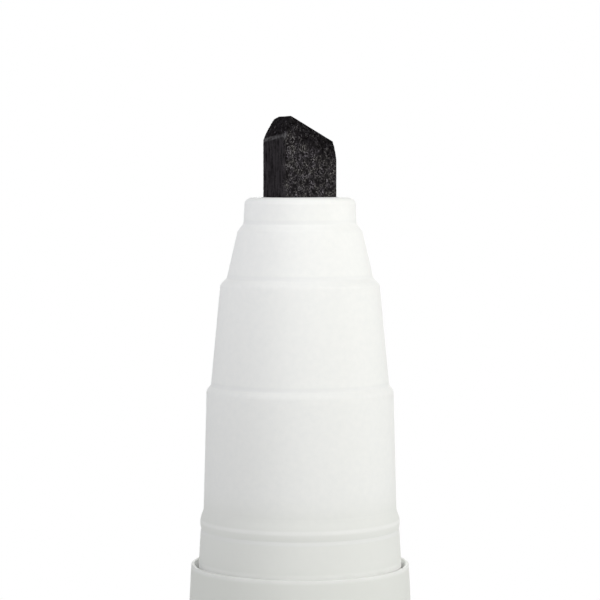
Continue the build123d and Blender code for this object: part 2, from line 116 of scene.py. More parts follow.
class Signal:
    """An output socket in a node tree, or with no socket the tree's starting point."""

    def __init__(self, tree, socket=None):
        self.tree = tree
        self.socket = socket

    def node(self, kind, settings=None, inputs=None, output=0):
        """Add a node: its settings come first, then the values or links of its sockets."""
        made = self.tree.nodes.new(kind)
        for name, value in (settings or {}).items():
            setattr(made, name, value)
        for name, value in (inputs or {}).items():
            if isinstance(value, Signal):
                self.tree.links.new(value.socket, made.inputs[name])
            else:
                made.inputs[name].default_value = value
        return Signal(self.tree, made.outputs[output])

    def maths(self, operation, *values):
        """Add a Math node on the given values."""
        return self.node("ShaderNodeMath", {"operation": operation}, dict(enumerate(values)))

    def __add__(self, other):
        return self.maths("ADD", self, other)

    def __sub__(self, other):
        return self.maths("SUBTRACT", self, other)

    def __rsub__(self, other):
        return self.maths("SUBTRACT", other, self)

    def __mul__(self, other):
        return self.maths("MULTIPLY", self, other)

    def __abs__(self):
        return self.maths("ABSOLUTE", self)

    __radd__ = __add__
    __rmul__ = __mul__

    def larger(self, other):
        """The larger of this value and another."""
        return self.maths("MAXIMUM", self, other)

    def smaller(self, other):
        """The smaller of this value and another."""
        return self.maths("MINIMUM", self, other)

    def fade(self, low, high):
        """A smooth rise from 0 at low to 1 at high, or a fall where low is the larger."""
        inputs = {"Value": self, "From Min": low, "From Max": high}
        return self.node("ShaderNodeMapRange", {"interpolation_type": "SMOOTHSTEP"}, inputs)

    def tint(self, dark, light):
        """A colour between two others, chosen by this value."""
        inputs = {MIX_FACTOR: self}
        for socket, colour in ((MIX_DARK, dark), (MIX_LIGHT, light)):
            inputs[socket] = colour if isinstance(colour, Signal) else (*colour, 1.0)
        return self.node("ShaderNodeMix", {"data_type": "RGBA"}, inputs, output=MIX_RESULT)

    def stretched(self, x, y, z):
        """A place whose three coordinates are multiplied, to stretch a pattern."""
        return self.node("ShaderNodeMapping", {}, {"Vector": self, "Scale": (x, y, z)})

    def noise(self, size, detail=2.0):
        """Cloudy noise from 0 to 1 at this place, with features of about the given size."""
        return self.node("ShaderNodeTexNoise", {}, {"Vector": self, "Scale": 1 / size, "Detail": detail})

    def cells(self, size):
        """Distance from the nearest of many scattered points, as a share of their spacing."""
        return self.node("ShaderNodeTexVoronoi", {}, {"Vector": self, "Scale": 1 / size})

    def axis(self, letter):
        """One coordinate of this place."""
        return self.node("ShaderNodeSeparateXYZ", {}, {"Vector": self}, output=letter)

    def reach(self):
        """Distance of this place from the origin."""
        return self.node("ShaderNodeVectorMath", {"operation": "LENGTH"}, {0: self}, output="Value")

    def radius(self):
        """Distance of this place from the marker's axis."""
        return self.stretched(1, 1, 0).reach()

    def under(self, point, outwards):
        """How deep this place lies under the plane through a point that faces outwards."""
        inwards = self.node("ShaderNodeVectorMath", {"operation": "SUBTRACT"}, {0: tuple(point), 1: self})
        return self.node("ShaderNodeVectorMath", {"operation": "DOT_PRODUCT"},
                         {0: inwards, 1: tuple(outwards)}, output="Value")

    def bump(self, depth, strength):
        """A normal tilted by this height, where 1 stands the given depth high."""
        return self.node("ShaderNodeBump", {}, {"Height": self, "Distance": depth, "Strength": strength})


print("Signal: sockets that take part in Python's maths")

# %% Make and give a finish


def new_finish(name):
    """An empty material and the place on a piece's surface, in metres."""
    material = bpy.data.materials.new(name)
    material.use_nodes = True
    return material, Signal(material.node_tree).node("ShaderNodeTexCoord", output="Object")


def surface(material, varying, fixed):
    """Link what varies to the material's Principled shader, and set what doesn't on its sockets."""
    shader = material.node_tree.nodes["Principled BSDF"]
    for name, signal in varying.items():
        material.node_tree.links.new(signal.socket, shader.inputs[name])
    for name, value in fixed.items():
        shader.inputs[name].default_value = value
    return material


def wear(material, *piece_names):
    """Give loaded nodes their better finish."""
    for name in piece_names:
        nodes[name].material_slots[0].material = material
    print(material.name, "on", ", ".join(piece_names))


print("loaded materials to do better than:", len(bpy.data.materials))

# %% [markdown]
# ## White moulded plastic
# Nose and barrel are moulded in white polypropylene. It is satin, not glossy: the mould's fine texture
# blurs every reflection. Slow clouds in the tone stand for the flow of the melt, a faint mottle for the
# pigment, and a fine grain drives both the bump and the roughness.
# The white is not the same all over, and its marks are painted light and shade. Painted shade darkens the
# corners of the steps and the crease under the bead, and painted shade greys the nose and the barrel round
# the joint, where the light falls off lower down. A painted highlight brightens the bead's crown and the rim,
# and painted light brightens the groove inside the rim, where shade falls. These marks could be painted on a
# texture, but all of them are rings round the axis. So the depth below the top of the nose tells where they
# are, and a noise keeps them uneven.

# %% Find the rings
# Depths below the top of the nose
STEP_CORNERS = (2.25 * MM, 6.93 * MM, 16.18 * MM, 28.93 * MM)
BEAD_CROWN = 27.9 * MM
LOW_SHADE_START = (24.5 * MM, 28.0 * MM)
LOW_SHADE_END = (60.0 * MM, 36.0 * MM)

# Half the width of a ring, at its outer edge and where it is full
CORNER_SHADE_RING = (0.28 * MM, 0.084 * MM)
CROWN_RING = (0.27 * MM, 0.045 * MM)
RIM_RING = (0.45 * MM, 0.135 * MM)

rim_depth = nose_top.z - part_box("barrel")[1].z
barrel_start = (rim_depth - 0.3 * MM, rim_depth + 0.2 * MM)


def ring(depth, middle, half_widths):
    """A ring round the axis: 1 at its middle depth, 0 outside it."""
    return abs(depth - middle).fade(*half_widths)


print("the barrel's rim lies", round(rim_depth / MM, 2), "mm below the top of the nose")

# %% Paint light and shade on the white
NOSE_LOW_SHADE = 0.65
BARREL_LOW_SHADE = 0.32
GROOVE_R = 9.2 * MM
GROOVE_EDGE = 0.05 * MM
GAP_LIGHT_DEPTH = 0.15 * MM
CORNER_SHADE_RISE = 0.15 * MM
CORNER_SHADE_CLOUD = 2.5 * MM
HIGHLIGHT_CLOUD = 3 * MM

LOW_SHADE_GREY = (0.76, 0.777, 0.735)
HIGHLIGHT_WHITE = (0.90, 0.91, 0.89)
CORNER_SHADE_GREY = (0.80, 0.815, 0.80)
GAP_LIGHT_WHITE = (0.93, 0.935, 0.92)


def white_with_painted_light(place, moulded):
    """The moulded colour with painted shade low down and in the corners, painted highlights on two rings and
    painted light in the groove.
    """
    depth = nose_top.z - place.axis("Z")
    # Painted shade: the nose below the bead and the top of the barrel are greyed, where the light falls off.
    on_nose = NOSE_LOW_SHADE * depth.fade(*LOW_SHADE_START)
    on_barrel = BARREL_LOW_SHADE * depth.fade(*barrel_start)
    low_shade = (on_nose + on_barrel) * depth.fade(*LOW_SHADE_END)
    # Painted highlight: the bead's crown and the rim are brightened, in uneven patches.
    crown_and_rim = ring(depth, rim_depth, RIM_RING) + ring(depth, BEAD_CROWN, CROWN_RING)
    rub_and_highlight = crown_and_rim * (0.15 + 0.7 * place.noise(HIGHLIGHT_CLOUD, 2))
    # Painted shade: a dark line in each step's corner and in the crease under the bead.
    cornered = sum(ring(depth, corner - CORNER_SHADE_RISE, CORNER_SHADE_RING) for corner in STEP_CORNERS)
    corner_shade = cornered * (0.2 + 0.6 * place.noise(CORNER_SHADE_CLOUD, 3))
    # Painted light: the neck's wall in the groove inside the rim is brightened, where shade falls.
    in_groove = place.radius().fade(GROOVE_R + GROOVE_EDGE, GROOVE_R)
    gap_light = in_groove * depth.fade(rim_depth, rim_depth + GAP_LIGHT_DEPTH)
    colour = moulded
    for mark, paint in ((low_shade, LOW_SHADE_GREY), (rub_and_highlight, HIGHLIGHT_WHITE), (corner_shade, CORNER_SHADE_GREY),
                        (gap_light, GAP_LIGHT_WHITE)):
        colour = mark.tint(colour, paint)
    return colour


# The grey printed here is painted shade below the bead, where the light falls off.
print("grip grey from", round(LOW_SHADE_START[0] / MM, 1), "to", round(LOW_SHADE_END[0] / MM, 1), "mm below that top")

# %% Make the white finish
FLOW_CLOUD = 14 * MM
PIGMENT_CLOUD = 0.5 * MM
SCUFF_WIDTH = 0.5 * MM
MOULD_GRAIN = 0.16 * MM
GRAIN_DEPTH = 0.004 * MM

MOULDED_DARK = (0.835, 0.85, 0.828)
MOULDED_LIGHT = (0.865, 0.876, 0.85)


def white_plastic():
    """Satin white with flow clouds, a mottle, a mould grain and scuffs, and painted light and shade."""
    material, place = new_finish("satin white plastic")
    flow = place.noise(FLOW_CLOUD, 3)
    grain = place.noise(MOULD_GRAIN)
    scuffs = place.stretched(1, 1, 0.12).noise(SCUFF_WIDTH, 4).fade(0.62, 0.74)
    tone = 0.6 * flow + 2.0 * place.noise(PIGMENT_CLOUD, 3) - 0.8
    return surface(material,
                   {"Base Color": white_with_painted_light(place, tone.tint(MOULDED_DARK, MOULDED_LIGHT)),
                    "Roughness": 0.46 + 0.10 * grain + 0.05 * flow + 0.08 * scuffs,
                    "Normal": grain.bump(GRAIN_DEPTH, 0.5)},
                   {"Specular IOR Level": 0.03})


wear(white_plastic(), "nose_section", "barrel")

# %% [markdown]
# ## The chisel nib
# The nib is a bar of bonded fibres, sawn to a chisel: a long slope to write with, a heel that leans back,
# a short toe and a facet along each broad face. Its corners could be pulled into place, but a plain bar cut
# by planes gives these faces exactly as a saw would, and one more cut takes off the far corner, which is
# worn. The cut bar is then rebuilt from small even cells, so that its edges can wear soft and the felt can
# stand up in little tufts.
# The bench works in millimetres, because in metres these cells would be as small as Blender's slider goes.
# The finished piece is shrunk to its true size.

# %% Plan the cuts
NIB_REACH = 7.0
CHISEL_FALL = 2.2
HEEL_RUN = 0.95
HEEL_DROP = 1.7
HEEL_SLANT = 0.45
TOE_RUN = 0.15
TOE_DROP = 1.5
FACET_DROP = 1.7
FACET_INSET = 0.36


def bench_box(node):
    """A node's two corners in millimetres."""
    return [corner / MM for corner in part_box(node)]


nib_low, nib_high = bench_box("nib")
nib_size = nib_high - nib_low
nib_top = nose_top.z / MM + NIB_REACH
across = Vector((0, 1, 0))
ridge = Vector((nib_low.x + HEEL_RUN, nib_low.y, nib_top))
slope = Vector((nib_size.x - HEEL_RUN - TOE_RUN, 0, -CHISEL_FALL))
heel_rise = Vector((HEEL_RUN, 0, HEEL_DROP))
heel_lean = Vector((0, nib_size.y, -HEEL_SLANT))
toe_fall = Vector((TOE_RUN, 0, -TOE_DROP))
facet_fall = Vector((0, FACET_INSET, -FACET_DROP))
facet_foot = Vector((ridge.x, nib_high.y, nib_top - FACET_DROP))
far_corner = Vector((ridge.x, nib_high.y - FACET_INSET, nib_top))

slope_out = slope.cross(across).normalized()
heel_out = heel_rise.cross(heel_lean).normalized()
toe_out = toe_fall.cross(across)
facet_out = slope.cross(facet_fall).normalized()
worn_out = (heel_out * 2 + slope_out * 2 + facet_out).normalized()
print("nib bar", [round(side, 2) for side in nib_size], "mm, its ridge at", round(nib_top, 2), "mm")

# %% Saw the bar
NIB_EDGE = 0.12
WORN_DEPTH = 0.3

mirrored = Vector((1, -1, 1))
cuts = ((ridge, slope_out), (ridge, heel_out), (ridge + slope, toe_out),
        (facet_foot * mirrored, facet_out * mirrored), (facet_foot, facet_out),
        (far_corner - worn_out * WORN_DEPTH, worn_out))


def take(name):
    """Name the new primitive, put its place and size into its mesh and return it."""
    piece = bpy.context.object
    piece.name = name
    piece.data.name = name
    bpy.ops.object.transform_apply(location=True, rotation=True, scale=True)
    return piece


def pick(piece, kind, wanted):
    """Enter edit mode with only those vertices or edges selected that a test wants."""
    bpy.ops.object.mode_set(mode="EDIT")
    bpy.ops.mesh.select_mode(type=kind)
    bpy.ops.mesh.select_all(action="DESELECT")
    bpy.ops.object.mode_set(mode="OBJECT")
    groups = {"VERT": piece.data.vertices, "EDGE": piece.data.edges}
    for element in groups[kind]:
        element.select = wanted(element)
    bpy.ops.object.mode_set(mode="EDIT")


def is_upright(edge):
    """Whether an edge of the bar runs along the marker's axis."""
    start, end = [nib_piece.data.vertices[index].co for index in edge.vertices]
    return abs(start.z - end.z) > nib_size.z / 2


clear_bench()
bpy.ops.mesh.primitive_cube_add(size=1, location=(nib_low + nib_high) / 2, scale=nib_size)
nib_piece = take("chisel_nib")
pick(nib_piece, "EDGE", is_upright)
bpy.ops.mesh.bevel(offset=NIB_EDGE, segments=3, affect="EDGES")
for point, outwards in cuts:
    bpy.ops.mesh.select_all(action="SELECT")
    bpy.ops.mesh.bisect(plane_co=point, plane_no=outwards, use_fill=True, clear_outer=True)
bpy.ops.object.mode_set(mode="OBJECT")
print("sawn nib:", len(nib_piece.data.polygons), "faces")

# %% Raise the felt
FELT_CELL = 0.1
FELT_DEPTH = 0.05
TUFT = 0.22
LEAST_FELT = 0.15


def modify(piece, kind, **settings):
    """Add one modifier, set it and apply it."""
    modifier = piece.modifiers.new(kind.lower(), kind)
    for name, value in settings.items():
        setattr(modifier, name, value)
    bpy.context.view_layer.objects.active = piece
    bpy.ops.object.modifier_apply(modifier=modifier.name)


def pattern(name, kind, size):
    """A texture for the Displace modifier, with features of about the given size."""
    texture = bpy.data.textures.new(name, kind)
    texture.noise_scale = size
    return texture


def felt_share(vertex):
    """Full felt where the nib looks straight out of a broad side, little of it elsewhere."""
    return min(1.0, max(LEAST_FELT, 1.6 * abs(vertex.normal.y) - 0.4))


modify(nib_piece, "REMESH", mode="VOXEL", voxel_size=FELT_CELL)
modify(nib_piece, "SMOOTH", factor=0.5, iterations=3)
felted = nib_piece.vertex_groups.new(name="broad faces")
for vertex in nib_piece.data.vertices:
    felted.add([vertex.index], felt_share(vertex), "REPLACE")
modify(nib_piece, "DISPLACE", texture=pattern("tufts", "CLOUDS", TUFT), texture_coords="LOCAL",
       vertex_group=felted.name, strength=FELT_DEPTH, mid_level=0.7)
print("felted nib:", len(nib_piece.data.vertices), "vertices")

# %% Shrink the nib to its true size


def shrink(piece):
    """Bring a piece from the bench's millimetres to metres, and leave it selected alone."""
    clear_bench()
    piece.select_set(True)
    bpy.context.view_layer.objects.active = piece
    piece.scale = (MM, MM, MM)
    bpy.ops.object.transform_apply(location=True, rotation=True, scale=True)
    print(piece.name, "has", sum(len(face.vertices) - 2 for face in piece.data.polygons), "triangles")


shrink(nib_piece)
bpy.ops.object.shade_smooth()

# %% [markdown]
# ## Ink-soaked fibre
# The felt is black with ink. On the broad faces the cut ends of the fibres catch the light as short curled
# specks. On the narrow faces the fibres lie along the nib, so there are only fine streaks. The sawn faces
# are smoother and darker, with a few stray fibres, and the crease at the heel is rubbed pale.
# Thousands of strands could be modelled, but at this size they would be thinner than a pixel. The contour
# of a cloudy noise is a curled line too, so such contours, cut into grains by a finer noise, make the specks.

# %% Scatter the fibre tips
# Fibre tips: their size, the size of their patches, and the noise at which a patch starts and is full
LONG_TIPS = (0.28 * MM, 0.45 * MM, 0.38, 0.54)
SHORT_TIPS = (0.20 * MM, 0.40 * MM, 0.60, 0.48)
STRAY_TIPS = (0.17 * MM, 0.30 * MM, 0.55, 0.68)
TIP_WIDTH = 0.058
TIP_CLOUD = 0.9 * MM
TIP_GRAIN = 0.13 * MM


def fibre_tips(place, size, patch, low, high):
    """Thin curls, where a noise crosses its middle value, in patches of another noise."""
    curls = abs(place.noise(size, 1.0) - 0.5).fade(TIP_WIDTH, 0.0)
    return curls * place.noise(patch, 1.0).fade(low, high)


def specks(place, covered, narrow):
    """Grains of fibre tips where the felt is covered with them, and a few stray ones elsewhere."""
    long_tips = fibre_tips(place, *LONG_TIPS)
    short_tips = fibre_tips(place, *SHORT_TIPS)
    stray_tips = fibre_tips(place, *STRAY_TIPS)
    grains = 0.3 + 0.9 * place.noise(TIP_GRAIN, 0.0).fade(0.38, 0.56)
    uneven = 0.5 + place.noise(TIP_CLOUD, 1.0)
    dense = long_tips.larger(0.6 * short_tips) * uneven * grains
    return (dense * (0.08 + 0.90 * covered)).larger(0.55 * stray_tips * (1 - narrow))


print("fibre tips of", *(round(tips[0] / MM, 2) for tips in (LONG_TIPS, SHORT_TIPS, STRAY_TIPS)), "mm")

# %% Rub the heel
# Depths under a face, where a mark starts and where it is full
CREASE_AT_HEEL = (0.11 * MM, 0.04 * MM)
CREASE_AT_SIDE = (0.15 * MM, 0.05 * MM)
RUBBED_CORNER = (0.24 * MM, 0.10 * MM)
CREASE_GRAIN = 0.16 * MM


def rubbed_heel(place, heel_depth, narrow_depth, broad_depth):
    """The crease along the heel and the corner at its end."""
    crease = heel_depth.fade(*CREASE_AT_HEEL) * narrow_depth.fade(*CREASE_AT_SIDE)
    worn_line = 0.85 * crease * place.noise(CREASE_GRAIN, 2.0).fade(0.25, 0.65)
    at_edge = heel_depth.fade(*RUBBED_CORNER) * narrow_depth.fade(*RUBBED_CORNER)
    return worn_line.larger(at_edge * broad_depth.fade(*RUBBED_CORNER))


print("heel crease", round(CREASE_AT_HEEL[0] / MM, 2), "mm wide")

# %% Ink the nib
# Depths under a face, where a mark starts and where it is full
SAWN_SKIN = (0.13 * MM, 0.052 * MM)
BROAD_SKIN = (0.45 * MM, 0.30 * MM)
NARROW_SKIN = (0.14 * MM, 0.05 * MM)
FELT_START = (0.9 * MM, 2.7 * MM)

FELT_CLOUD = 0.5 * MM
STREAK_WIDTH = 0.15 * MM
INK_CLOUD = 0.35 * MM
TINT_CLOUD = 0.6 * MM
FIBRE_BUMP = 0.03 * MM

INK_DEEP = (0.0028, 0.0024, 0.0027)
INK_WORN = (0.0272, 0.0248, 0.0268)
TIP_COOL = (0.164, 0.153, 0.167)
TIP_WARM = (0.171, 0.165, 0.156)
RUBBED_GREY = (0.088, 0.086, 0.088)


def inked_fibre():
    """Black felt with specks on the broad faces, streaks on the narrow ones and a rubbed heel crease."""
    material, place = new_finish("inked fibre")
    heel_depth = place.under(ridge * MM, heel_out)
    slope_depth = place.under(ridge * MM, slope_out)
    broad_depth = nib_high.y * MM - abs(place.axis("Y"))
    narrow_depth = nib_high.x * MM - abs(place.axis("X"))
    sawn = heel_depth.smaller(slope_depth).fade(*SAWN_SKIN)
    narrow = narrow_depth.fade(*NARROW_SKIN) * (1 - sawn)
    grown = slope_depth.fade(*FELT_START) + 1.1 * place.noise(FELT_CLOUD, 1.0)
    on_broad = broad_depth.fade(*BROAD_SKIN) * grown.fade(0.55, 1.25)
    covered = on_broad * (1 - 0.6 * sawn) * (1 - 0.8 * narrow)
    felt = specks(place, covered, narrow)
    streaks = place.stretched(1, 1, 0.10).noise(STREAK_WIDTH, 3.0).fade(0.40, 0.60)
    mottle = place.noise(INK_CLOUD, 3.0).fade(0.35, 0.65)
    lying_fibres = (0.14 + 1.10 * streaks * (0.8 + 0.4 * mottle)) * narrow
    tone = 0.3 * mottle + 0.10 * sawn + 0.18 * covered + lying_fibres
    ink = tone.tint(INK_DEEP, INK_WORN)
    tips = place.noise(TINT_CLOUD, 0.0).fade(0.3, 0.7).tint(TIP_COOL, TIP_WARM)
    rub_and_highlight = rubbed_heel(place, heel_depth, narrow_depth, broad_depth)
    return surface(material,
                   {"Base Color": rub_and_highlight.tint(felt.tint(ink, tips), RUBBED_GREY),
                    "Roughness": 0.95 - 0.2 * felt,
                    "Normal": (felt + 0.4 * streaks).bump(FIBRE_BUMP, 0.6)},
                   {"Specular IOR Level": 0.0})


nib_piece.data.materials.append(inked_fibre())
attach(nib_piece, "nib_body")
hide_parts("nib")
print("nib inked")

# %% [markdown]
# ## The foam ring
# Under the nib's guide sits a ring of open-cell foam, which drinks up spare ink before it can drip. It is
# punched from a sheet: a cylinder narrowed at the top, as the nose is inside, with a rectangular hole for
# the nib. Rebuilding it from small cells lets its edges go soft. The pores could be left to the finish, but
# a pattern of cells pressed into the mesh makes them real. It only presses inwards, so that the ring never
# grows beyond its place.

# %% Punch the ring
FOAM_SIDES = 72
FOAM_WAIST = 3.05
FOAM_TAPER = 0.28
FOAM_ROOM = 0.25
FOAM_EDGE = 0.35
FOAM_CELL = 0.15
SHARP_ANGLE = radians(50)

foam_low, foam_high = bench_box("ink_absorber")
foam_middle = (foam_low + foam_high) / 2
foam_height = foam_high.z - foam_low.z
foam_r = foam_high.x
narrowing = 1 - FOAM_TAPER / foam_r
hole_x = nib_high.x + FOAM_ROOM
hole_y = nib_high.y + FOAM_ROOM

clear_bench()
bpy.ops.mesh.primitive_cylinder_add(vertices=FOAM_SIDES, radius=foam_r, depth=foam_height,
                                    location=foam_middle)
foam_piece = take("foam_ring")
bpy.ops.object.mode_set(mode="EDIT")
bpy.ops.mesh.select_all(action="SELECT")
bpy.ops.mesh.bisect(plane_co=(0, 0, foam_low.z + FOAM_WAIST), plane_no=(0, 0, 1))
pick(foam_piece, "VERT", lambda vertex: vertex.co.z > foam_high.z - FOAM_CELL)
bpy.ops.transform.resize(value=(narrowing, narrowing, 1), center_override=(0, 0, foam_high.z))
bpy.ops.object.mode_set(mode="OBJECT")

clear_bench()
bpy.ops.mesh.primitive_cube_add(size=2, location=foam_middle, scale=(hole_x, hole_y, foam_height))
punch = take("punch")
modify(foam_piece, "BOOLEAN", operation="DIFFERENCE", solver="EXACT", object=punch)
bpy.data.objects.remove(punch)
modify(foam_piece, "BEVEL", width=FOAM_EDGE, segments=3, limit_method="ANGLE", angle_limit=SHARP_ANGLE)
print("punched ring:", len(foam_piece.data.polygons), "faces")

# %% Open the pores
PORE = 0.55
PORE_DEPTH = 0.16

modify(foam_piece, "REMESH", mode="VOXEL", voxel_size=FOAM_CELL)
modify(foam_piece, "DISPLACE", texture=pattern("pores", "VORONOI", PORE), texture_coords="LOCAL",
       strength=PORE_DEPTH, mid_level=1.0)
shrink(foam_piece)
bpy.ops.object.shade_smooth()

# %% Finish the foam
STAIN_REACH = (1.6 * MM, 0.3 * MM)
STAIN_SPREAD = 1.2 * MM
STAIN_CLOUD = 0.9 * MM
STRAND_CELL = 0.18 * MM
FOAM_BUMP = 0.06 * MM

PORE_SHADE = (0.42, 0.40, 0.36)
FOAM_CREAM = (0.78, 0.76, 0.70)
FOAM_INK = (0.012, 0.0115, 0.0125)


def open_foam():
    """Cream foam with painted shade in its pores, stained by ink where it stands close to the nib."""
    material, place = new_finish("open-cell foam")
    pore = place.cells(PORE * MM)
    strands = place.cells(STRAND_CELL)
    from_hole_x = abs(place.axis("X")) - hole_x * MM
    from_hole_y = abs(place.axis("Y")) - hole_y * MM
    from_nib = from_hole_x.larger(from_hole_y)
    soaked = (from_nib + STAIN_SPREAD * place.noise(STAIN_CLOUD, 3.0)).fade(*STAIN_REACH)
    # Painted shade: the pores darken towards their middles.
    dry = pore.fade(0.0, 0.7).tint(PORE_SHADE, FOAM_CREAM)
    return surface(material,
                   {"Base Color": (0.92 * soaked).tint(dry, FOAM_INK),
                    "Roughness": 0.95 - 0.3 * soaked,
                    "Normal": (pore + 0.4 * strands).bump(FOAM_BUMP, 0.7)},
                   {"Specular IOR Level": 0.2})


foam_piece.data.materials.append(open_foam())
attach(foam_piece, "marker_body")
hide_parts("ink_absorber")
print("foam stained round the nib")

# %% [markdown]
# ## The valve spring
# The spring is wound from thin stainless wire, with one closer turn at each end. A curve with a round bevel
# could follow such a helix, but a circle screwed up round the axis needs no points: it gives one stretch of
# even pitch. Three stretches, one for each pitch, meet in the same circle, so they join without a seam.

# %% Wind the spring
WIRE_R = 0.25
WIRE_SIDES = 14
COIL_STEPS = 40
END_PITCH = 1.0
END_TURNS = 1
MIDDLE_TURNS = 5

spring_low, spring_high = bench_box("valve_spring")
coil_r = (spring_high.x - spring_low.x) / 2 - WIRE_R
wire_rise = spring_high.z - spring_low.z - 2 * WIRE_R
middle_pitch = (wire_rise - 2 * END_TURNS * END_PITCH) / MIDDLE_TURNS
wire_z = spring_low.z + WIRE_R
stretches = []
for turns, pitch in ((END_TURNS, END_PITCH), (MIDDLE_TURNS, middle_pitch), (END_TURNS, END_PITCH)):
    clear_bench()
    bpy.ops.mesh.primitive_circle_add(vertices=WIRE_SIDES, radius=WIRE_R, location=(coil_r, 0, wire_z),
                                      rotation=(pi / 2, 0, 0))
    stretch = take("valve_coil")
    modify(stretch, "SCREW", axis="Z", angle=2 * pi, screw_offset=pitch, iterations=turns,
           steps=COIL_STEPS, render_steps=COIL_STEPS)
    stretches.append(stretch)
    wire_z += turns * pitch
print("spring of", len(stretches), "stretches, middle pitch", round(middle_pitch, 3), "mm")

# %% Join the stretches
SEAM = WIRE_R / 20
WIRE_SMOOTH = radians(40)

clear_bench()
for stretch in stretches:
    stretch.select_set(True)
spring_piece = stretches[0]
bpy.context.view_layer.objects.active = spring_piece
bpy.ops.object.join()
bpy.ops.object.mode_set(mode="EDIT")
bpy.ops.mesh.select_all(action="SELECT")
bpy.ops.mesh.remove_doubles(threshold=SEAM)
bpy.ops.mesh.fill_holes(sides=0)
bpy.ops.mesh.normals_make_consistent(inside=False)
bpy.ops.object.mode_set(mode="OBJECT")
bpy.ops.object.shade_smooth_by_angle(angle=WIRE_SMOOTH)
shrink(spring_piece)

DIE_GRAIN = 0.08 * MM
DIE_DEPTH = 0.003 * MM
FILM_CLOUD = 1.5 * MM
WIRE_DARK = (0.56, 0.56, 0.57)
WIRE_LIGHT = (0.66, 0.65, 0.64)


def drawn_wire():
    """Stainless wire with the dull, faintly clouded skin that the drawing die leaves."""
    material, place = new_finish("drawn wire")
    skin = place.noise(DIE_GRAIN, 3.0)
    film = place.noise(FILM_CLOUD, 2.0)
    return surface(material,
                   {"Base Color": film.tint(WIRE_DARK, WIRE_LIGHT),
                    "Roughness": 0.24 + 0.14 * skin + 0.08 * film,
                    "Normal": skin.bump(DIE_DEPTH, 0.5)},
                   {"Metallic": 1.0})


spring_piece.data.materials.append(drawn_wire())
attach(spring_piece, "marker_body")
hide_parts("valve_spring")
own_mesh(spring_piece)
print("spring set on its seat")

# %% [markdown]
# ## Black gloss
# The cap and the tail plug are black under a polished skin, with hair-fine scratches and the smudges that
# fingers leave. A clear coat over a dull black gives that skin, and where the coat is thin it goes matt.
# The cap's flutes are left matt by the mould. They could be picked face by face, but they lie a little under
# the cap's tapered skin, so a place's distance from the axis tells whether it is in one.

# %% Make the black finish
CAP_TAPER = 0.5 * MM
FLUTE_DEPTH = 0.2 * MM
SCUFFED_FOOT = 0.9 * MM

SMUDGE = 6 * MM
HAIR_SCRATCH = 0.12 * MM
ORANGE_PEEL = 0.9 * MM
SCUFF_GRAIN = 0.35 * MM
PEEL_DEPTH = 0.006 * MM

CAP_BLACK = (0.013, 0.013, 0.0145)
SCUFFED_GREY = (0.075, 0.075, 0.078)

cap_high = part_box("cap_shell")[1]


def black_plastic():
    """Black under a polished skin: matt flutes, smudges, hair scratches and scuffs where it stands."""
    material, place = new_finish("gloss black plastic")
    height = place.axis("Z")
    smudges = place.noise(SMUDGE, 4.0).fade(0.45, 0.7)
    scratches = place.stretched(1, 1, 0.06).noise(HAIR_SCRATCH, 2.0).fade(0.66, 0.74)
    orange_peel = place.noise(ORANGE_PEEL, 1.0)
    scuffed = height.fade(SCUFFED_FOOT, 0.0) * place.noise(SCUFF_GRAIN, 4.0).fade(0.4, 0.62)
    skin = cap_high.x - CAP_TAPER + (CAP_TAPER / cap_high.z) * height
    sunk = skin - place.radius()
    flutes = sunk.fade(0.1 * FLUTE_DEPTH, 0.5 * FLUTE_DEPTH) * sunk.fade(3 * FLUTE_DEPTH, 2 * FLUTE_DEPTH)
    polish = (1 - 0.3 * smudges - 0.4 * scratches) * (1 - 0.9 * flutes) * (1 - 0.8 * scuffed)
    return surface(material,
                   {"Base Color": (0.15 * scratches + 0.6 * scuffed).tint(CAP_BLACK, SCUFFED_GREY),
                    "Roughness": 0.4 + 0.2 * flutes + 0.2 * scuffed,
                    "Coat Weight": polish,
                    "Normal": (orange_peel - 0.1 * scratches).bump(PEEL_DEPTH, 0.4)},
                   {"Specular IOR Level": 0.1, "Coat Roughness": 0.16})


wear(black_plastic(), "cap_shell", "tail_plug")

# %% [markdown]
# ## Milky plastic
# The valve's mouldings and the cap's liner have no pigment, so they are milky: some light goes in, wanders
# and comes out again nearby. Glass-like transmission would show it too clear, so a share of subsurface light
# is used. The mould leaves faint lines along its draw.

# %% Make the milky finish
MILKY_FLOW = 5 * MM
MILKY_GRAIN = 0.12 * MM
DRAW_LINE = 0.2 * MM
DRAW_DEPTH = 0.003 * MM
LIGHT_REACH = 0.6 * MM

MILKY_DARK = (0.76, 0.76, 0.72)
MILKY_LIGHT = (0.83, 0.83, 0.80)


def milky_plastic():
    """Unpigmented plastic: milky, satin, with flow clouds and faint lines along the draw of the mould."""
    material, place = new_finish("milky plastic")
    flow = place.noise(MILKY_FLOW, 3.0)
    grain = place.noise(MILKY_GRAIN)
    draw_lines = place.stretched(1, 1, 0.05).noise(DRAW_LINE, 2.0)
    return surface(material,
                   {"Base Color": flow.tint(MILKY_DARK, MILKY_LIGHT),
                    "Roughness": 0.34 + 0.12 * grain + 0.10 * draw_lines,
                    "Normal": (grain + draw_lines).bump(DRAW_DEPTH, 0.5)},
                   {"Subsurface Weight": 0.35, "Subsurface Radius": (1.0, 1.0, 0.9),
                    "Subsurface Scale": LIGHT_REACH})


wear(milky_plastic(), "valve_housing", "nib_socket", "valve_stem", "spring_retainer", "cap_liner")

# %% [markdown]
# ## Rubber and polished steel
# The washer is soft black rubber with a dull bloom, so its roughness is high and its bump a fine speckle.
# The ball is polished steel, which tumbling has scratched. Where a noise crosses its middle value there is a
# fine line that runs every way, as such scratches do, and a film of ink darkens it.

# %% Finish the washer
BLOOM_CLOUD = 1.2 * MM
RUBBER_SPECKLE = 0.07 * MM
SPECKLE_DEPTH = 0.01 * MM

RUBBER_BLACK = (0.04, 0.04, 0.041)
BLOOM_GREY = (0.075, 0.074, 0.072)


